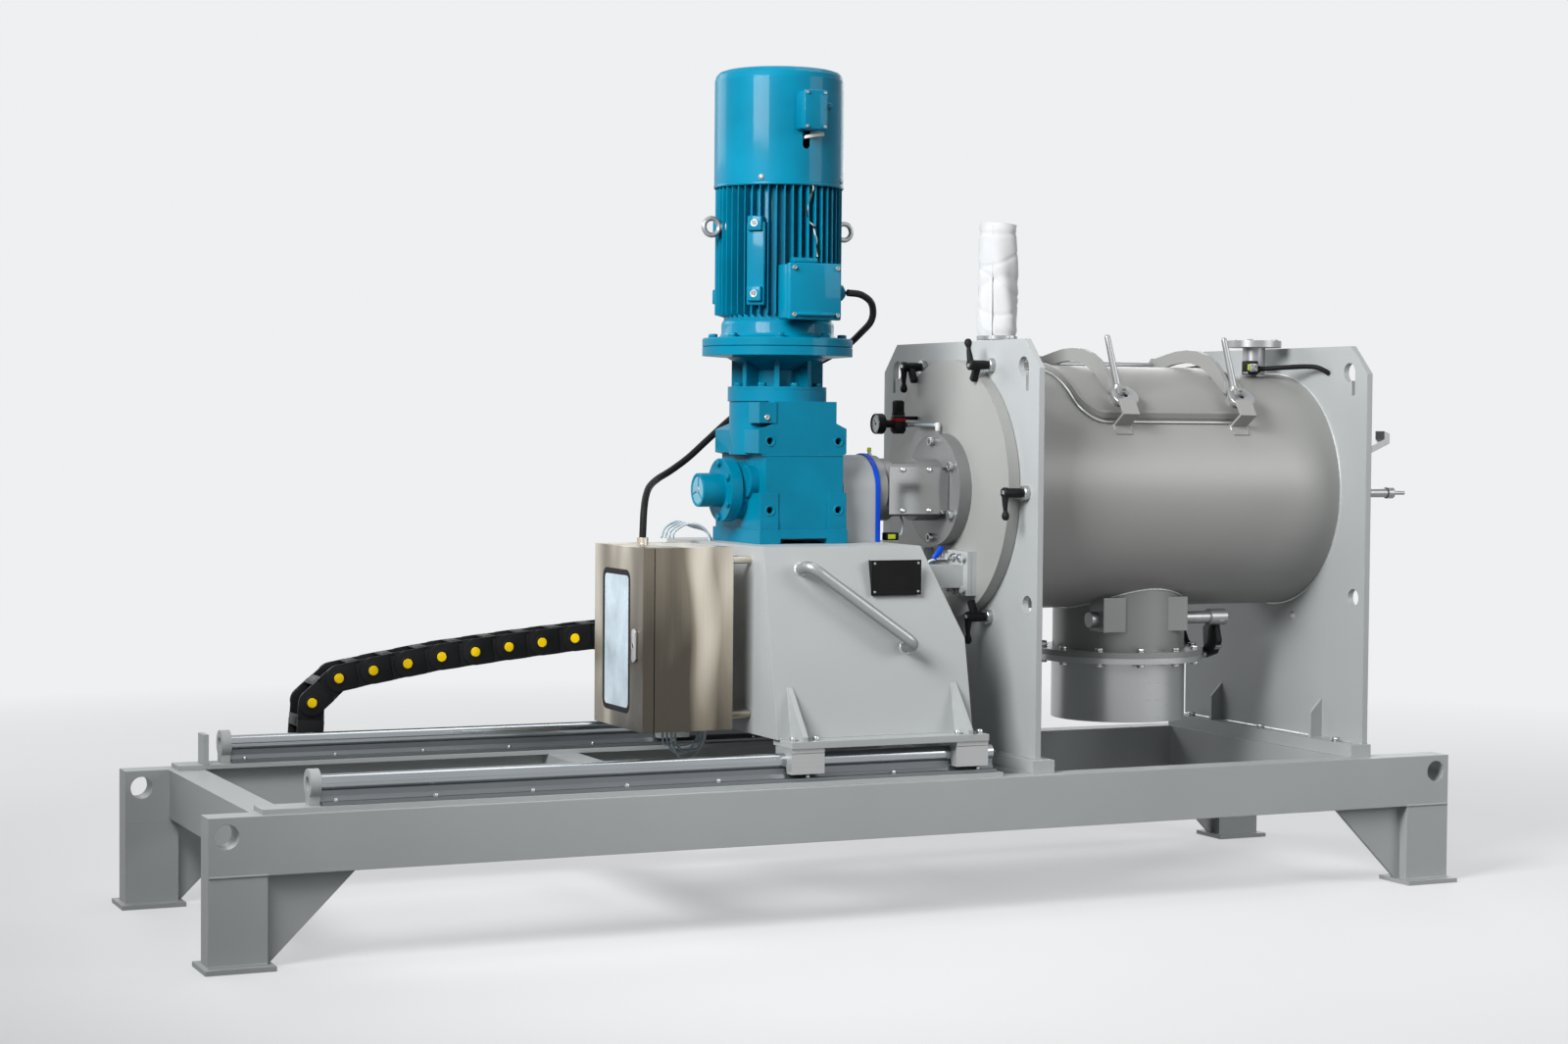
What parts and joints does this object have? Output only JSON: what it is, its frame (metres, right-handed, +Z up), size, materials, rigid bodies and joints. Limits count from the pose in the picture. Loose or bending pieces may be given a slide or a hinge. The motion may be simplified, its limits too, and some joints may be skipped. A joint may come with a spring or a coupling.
{
  "type": "vacuum plough mixer",
  "caption": "Horizontal plough mixer on a low frame; its door, rotor and vertical gear motor roll out on a carriage.",
  "frame": {"origin": "centre of the base frame on the floor, halfway along it and between the side beams", "axes": "+X along the machine towards the drum, +Y to the back where the energy chain is, +Z up"},
  "size_m": [3.064, 1.0105, 1.918],
  "materials": {
    "frame_paint": "satin",
    "drum_steel": "bead blasted",
    "bright_steel": "satin",
    "blue_paint": "gloss",
    "black_plastic": "matte",
    "black_rubber": "matte",
    "rail_aluminium": "satin",
    "ground_steel": "polished",
    "sleeve_cloth": "matte",
    "box_steel": "satin",
    "plate_black": "gloss"
  },
  "bodies": {
    "base": {"side_beams": "frame_paint", "legs": "frame_paint", "cross_members": "frame_paint", "rail_bars": "frame_paint", "rail_supports": "rail_aluminium", "rail_shafts": "ground_steel", "rail_stops": "frame_paint", "base_fasteners": "bright_steel", "chain_tray": "frame_paint", "left_end_plate": "frame_paint", "right_end_plate": "frame_paint", "plate_feet": "frame_paint", "drum_shell": "drum_steel", "hatch_frame": "drum_steel", "hatch_hinge_rod": "bright_steel", "top_nozzles": "bright_steel", "filter_sleeve": "sleeve_cloth", "safety_switch": "black_plastic", "switch_cable": "black_rubber", "discharge_neck": "drum_steel", "outlet_pipe": "bright_steel", "door_seal": "black_rubber", "tail_probe": "bright_steel", "chain_lower": "black_plastic"},
    "carriage": {"carriage_body": "frame_paint", "bearing_blocks": "rail_aluminium", "carriage_bolts": "bright_steel", "pull_handle": "bright_steel", "nameplate": "plate_black", "gearbox": "blue_paint", "motor_adapter": "blue_paint", "motor_body": "blue_paint", "motor_cowl": "blue_paint", "terminal_boxes": "blue_paint", "coupling_guard": "frame_paint", "bearing_housing": "frame_paint", "guard_plates": "bright_steel", "end_door": "drum_steel", "door_arms": "frame_paint", "air_regulator": "black_plastic", "enclosure_box": "box_steel", "power_cable": "black_rubber", "chain_upper": "black_plastic"},
    "rotor": {"rotor_shaft": "bright_steel", "ploughs": "bright_steel"},
    "fan": {"cooling_fan": "black_plastic"},
    "enclosure_door": {"enclosure_door": "box_steel"},
    "latch": {"enclosure_latch": "ground_steel"},
    "hatch_lid": {"hatch_lid": "drum_steel"},
    "hatch_clamp_1": {"hatch_clamp_1": "bright_steel"},
    "hatch_clamp_2": {"hatch_clamp_2": "bright_steel"},
    "door_clamp_1": {"door_clamp_1": "black_plastic"},
    "door_clamp_2": {"door_clamp_2": "black_plastic"},
    "door_clamp_3": {"door_clamp_3": "black_plastic"},
    "door_clamp_4": {"door_clamp_4": "black_plastic"},
    "door_clamp_5": {"door_clamp_5": "black_plastic"},
    "door_clamp_6": {"door_clamp_6": "black_plastic"},
    "flap": {"discharge_flap": "bright_steel"},
    "regulator_knob": {"regulator_knob": "black_plastic"},
    "chain_bend": {"chain_bend": "black_plastic"}
  },
  "joints": [
    {"name": "carriage_slide", "type": "slide", "parent": "base", "child": "carriage", "axis": [-1, 0, 0], "range_m": [0, 1.04], "deforming": ["chain_upper"]},
    {"name": "rotor_spin", "type": "hinge", "parent": "carriage", "child": "rotor", "pos_m": [0, 0, 0.948], "axis": [1, 0, 0], "continuous": true},
    {"name": "fan_spin", "type": "hinge", "parent": "carriage", "child": "fan", "pos_m": [-0.088, 0, 1.859], "axis": [0, 0, 1], "continuous": true},
    {"name": "enclosure_door_hinge", "type": "hinge", "parent": "carriage", "child": "enclosure_door", "pos_m": [-0.494, 0.05, 0.624], "axis": [0, 0, -1], "range_deg": [0, 110]},
    {"name": "latch_turn", "type": "hinge", "parent": "enclosure_door", "child": "latch", "pos_m": [-0.521, -0.206, 0.61], "axis": [1, 0, 0], "range_deg": [0, 90]},
    {"name": "hatch_lid_hinge", "type": "hinge", "parent": "base", "child": "hatch_lid", "pos_m": [0.84, 0.14, 1.257], "axis": [-1, 0, 0], "range_deg": [0, 100]},
    {"name": "hatch_clamp_1_turn", "type": "hinge", "parent": "hatch_lid", "child": "hatch_clamp_1", "pos_m": [0.7, -0.22769, 1.17569], "axis": [0, -0.7071, 0.7071], "range_deg": [0, 90]},
    {"name": "hatch_clamp_2_turn", "type": "hinge", "parent": "hatch_lid", "child": "hatch_clamp_2", "pos_m": [1.029, -0.22769, 1.17569], "axis": [0, -0.7071, 0.7071], "range_deg": [0, 90]},
    {"name": "door_clamp_1_turn", "type": "hinge", "parent": "base", "child": "door_clamp_1", "pos_m": [0.36, -0.1705, 1.24331], "axis": [1, 0, 0], "range_deg": [0, 90]},
    {"name": "door_clamp_2_turn", "type": "hinge", "parent": "base", "child": "door_clamp_2", "pos_m": [0.36, -0.341, 0.948], "axis": [-1, 0, 0], "range_deg": [0, 90]},
    {"name": "door_clamp_3_turn", "type": "hinge", "parent": "base", "child": "door_clamp_3", "pos_m": [0.36, -0.1705, 0.65269], "axis": [-1, 0, 0], "range_deg": [0, 90]},
    {"name": "door_clamp_4_turn", "type": "hinge", "parent": "base", "child": "door_clamp_4", "pos_m": [0.36, 0.1705, 0.65269], "axis": [1, 0, 0], "range_deg": [0, 90]},
    {"name": "door_clamp_5_turn", "type": "hinge", "parent": "base", "child": "door_clamp_5", "pos_m": [0.36, 0.341, 0.948], "axis": [1, 0, 0], "range_deg": [0, 90]},
    {"name": "door_clamp_6_turn", "type": "hinge", "parent": "base", "child": "door_clamp_6", "pos_m": [0.36, 0.1705, 1.24331], "axis": [1, 0, 0], "range_deg": [0, 90]},
    {"name": "flap_hinge", "type": "hinge", "parent": "base", "child": "flap", "pos_m": [0.846, -0.118, 0.635], "axis": [-1, 0, 0], "range_deg": [0, 75]},
    {"name": "knob_turn", "type": "hinge", "parent": "carriage", "child": "regulator_knob", "pos_m": [0.306, 0.15, 1.14], "axis": [0, 0, 1], "range_deg": [0, 270]},
    {"name": "chain_bend_slide", "type": "slide", "parent": "base", "child": "chain_bend", "axis": [-1, 0, 0], "range_m": [0, 0.52], "deforming": ["chain_lower"]}
  ],
  "couplings": [
    {"joint": "chain_bend_slide", "follows": "carriage_slide", "ratio": 0.5}
  ]
}
